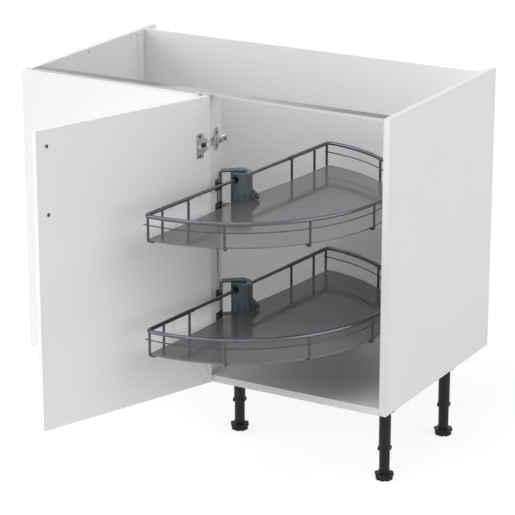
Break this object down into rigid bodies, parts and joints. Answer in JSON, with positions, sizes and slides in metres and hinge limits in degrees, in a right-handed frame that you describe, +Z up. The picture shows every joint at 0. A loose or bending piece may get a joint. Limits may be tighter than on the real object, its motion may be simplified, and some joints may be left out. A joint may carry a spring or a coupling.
{
  "type": "corner carousel cabinet",
  "caption": "Corner base cabinet with a blank front, a hinged door and half-round railed shelves that turn out of the doorway, on adjustable legs.",
  "frame": {"origin": "on the floor, under the centre of the 1000 by 570 mm carcass footprint", "axes": "+X to the right seen from the front, +Y to the rear and the wall, +Z up"},
  "size_m": [1, 1.0455, 0.898],
  "materials": {
    "panel_white": "white melamine-faced board with a faint fine grain",
    "back_white": "white lacquered thin board",
    "shelf_board": "glossy grey melamine-faced board",
    "dowel_wood": "fluted beech",
    "rail_metal": "satin galvanised sheet",
    "plate_zinc": "bright zinc",
    "screw_zinc": "dark zinc",
    "handle_metal": "satin",
    "hinge_nickel": "nickel plate",
    "shelf_rail": "dark plated tube",
    "shelf_wire": "slate grey coat",
    "hub_plastic": "dark grey moulded plastic",
    "bracket_steel": "dark grey powder coat",
    "pin_steel": "satin dark",
    "leg_plastic": "black moulded plastic"
  },
  "bodies": {
    "carcass": {"left_side": "panel_white", "right_side": "panel_white", "base_panel": "panel_white", "back_panel": "back_white", "front_rail": "rail_metal", "rail_end_brackets": "plate_zinc", "rail_screws": "screw_zinc", "mullion": "panel_white", "blank_panel": "panel_white", "blank_brackets": "plate_zinc", "blank_screws": "screw_zinc", "carcass_dowels": "dowel_wood", "cam_locks": "plate_zinc", "cam_bolts": "plate_zinc", "upper_hinge_arm": "hinge_nickel", "lower_hinge_arm": "hinge_nickel", "upper_mounting_plate": "hinge_nickel", "lower_mounting_plate": "hinge_nickel", "arm_pins": "hinge_nickel", "plate_screws": "screw_zinc", "arm_screws": "screw_zinc", "upper_bracket": "bracket_steel", "lower_bracket": "bracket_steel", "upper_pivot_pin": "pin_steel", "lower_pivot_pin": "pin_steel", "bracket_screws": "screw_zinc", "leg_socket_front_left": "leg_plastic", "leg_socket_front_right": "leg_plastic", "leg_socket_rear_left": "leg_plastic", "leg_socket_rear_right": "leg_plastic", "leg_socket_middle": "leg_plastic", "leg_screws": "screw_zinc"},
    "door": {"door": "panel_white", "handle": "handle_metal", "handle_screws": "screw_zinc", "upper_hinge_cup": "hinge_nickel", "lower_hinge_cup": "hinge_nickel", "cup_pins": "hinge_nickel", "cup_screws": "screw_zinc"},
    "hinge_links": {"upper_hinge_link": "hinge_nickel", "lower_hinge_link": "hinge_nickel"},
    "upper_shelf": {"upper_board": "shelf_board", "upper_top_rail": "shelf_rail", "upper_posts": "shelf_wire", "upper_mid_wire": "shelf_wire", "upper_crossbar": "shelf_rail", "upper_hub": "hub_plastic", "upper_hub_screws": "screw_zinc"},
    "lower_shelf": {"lower_board": "shelf_board", "lower_top_rail": "shelf_rail", "lower_posts": "shelf_wire", "lower_mid_wire": "shelf_wire", "lower_crossbar": "shelf_rail", "lower_hub": "hub_plastic", "lower_hub_screws": "screw_zinc"},
    "foot_front_left": {"leg_foot_front_left": "leg_plastic"},
    "foot_front_right": {"leg_foot_front_right": "leg_plastic"},
    "foot_rear_left": {"leg_foot_rear_left": "leg_plastic"},
    "foot_rear_right": {"leg_foot_rear_right": "leg_plastic"},
    "foot_middle": {"leg_foot_middle": "leg_plastic"}
  },
  "joints": [
    {"name": "hinge_link_swing", "type": "hinge", "parent": "carcass", "child": "hinge_links", "pos_m": [0.034, -0.277, 0.538], "axis": [0, 0, 1], "range_deg": [-36.05, 0]},
    {"name": "door_swing", "type": "hinge", "parent": "hinge_links", "child": "door", "pos_m": [0.02403, -0.30155, 0.538], "axis": [0, 0, 1], "range_deg": [0, 146]},
    {"name": "upper_shelf_turn", "type": "hinge", "parent": "carcass", "child": "upper_shelf", "pos_m": [0.062, -0.2005, 0.653], "axis": [0, 0, 1], "range_deg": [0, 95.05]},
    {"name": "lower_shelf_turn", "type": "hinge", "parent": "carcass", "child": "lower_shelf", "pos_m": [0.062, -0.2005, 0.375], "axis": [0, 0, 1], "range_deg": [0, 95.05]},
    {"name": "foot_front_left_adjust", "type": "slide", "parent": "carcass", "child": "foot_front_left", "axis": [0, 0, 1], "range_m": [-0.01, 0.02]},
    {"name": "foot_front_right_adjust", "type": "slide", "parent": "carcass", "child": "foot_front_right", "axis": [0, 0, 1], "range_m": [-0.01, 0.02]},
    {"name": "foot_rear_left_adjust", "type": "slide", "parent": "carcass", "child": "foot_rear_left", "axis": [0, 0, 1], "range_m": [-0.01, 0.02]},
    {"name": "foot_rear_right_adjust", "type": "slide", "parent": "carcass", "child": "foot_rear_right", "axis": [0, 0, 1], "range_m": [-0.01, 0.02]},
    {"name": "foot_middle_adjust", "type": "slide", "parent": "carcass", "child": "foot_middle", "axis": [0, 0, 1], "range_m": [-0.01, 0.02]}
  ],
  "couplings": [
    {"joint": "hinge_link_swing", "follows": "door_swing", "ratio": -0.24658},
    {"joint": "upper_shelf_turn", "follows": "door_swing", "ratio": 0.65068},
    {"joint": "lower_shelf_turn", "follows": "door_swing", "ratio": 0.65068}
  ]
}
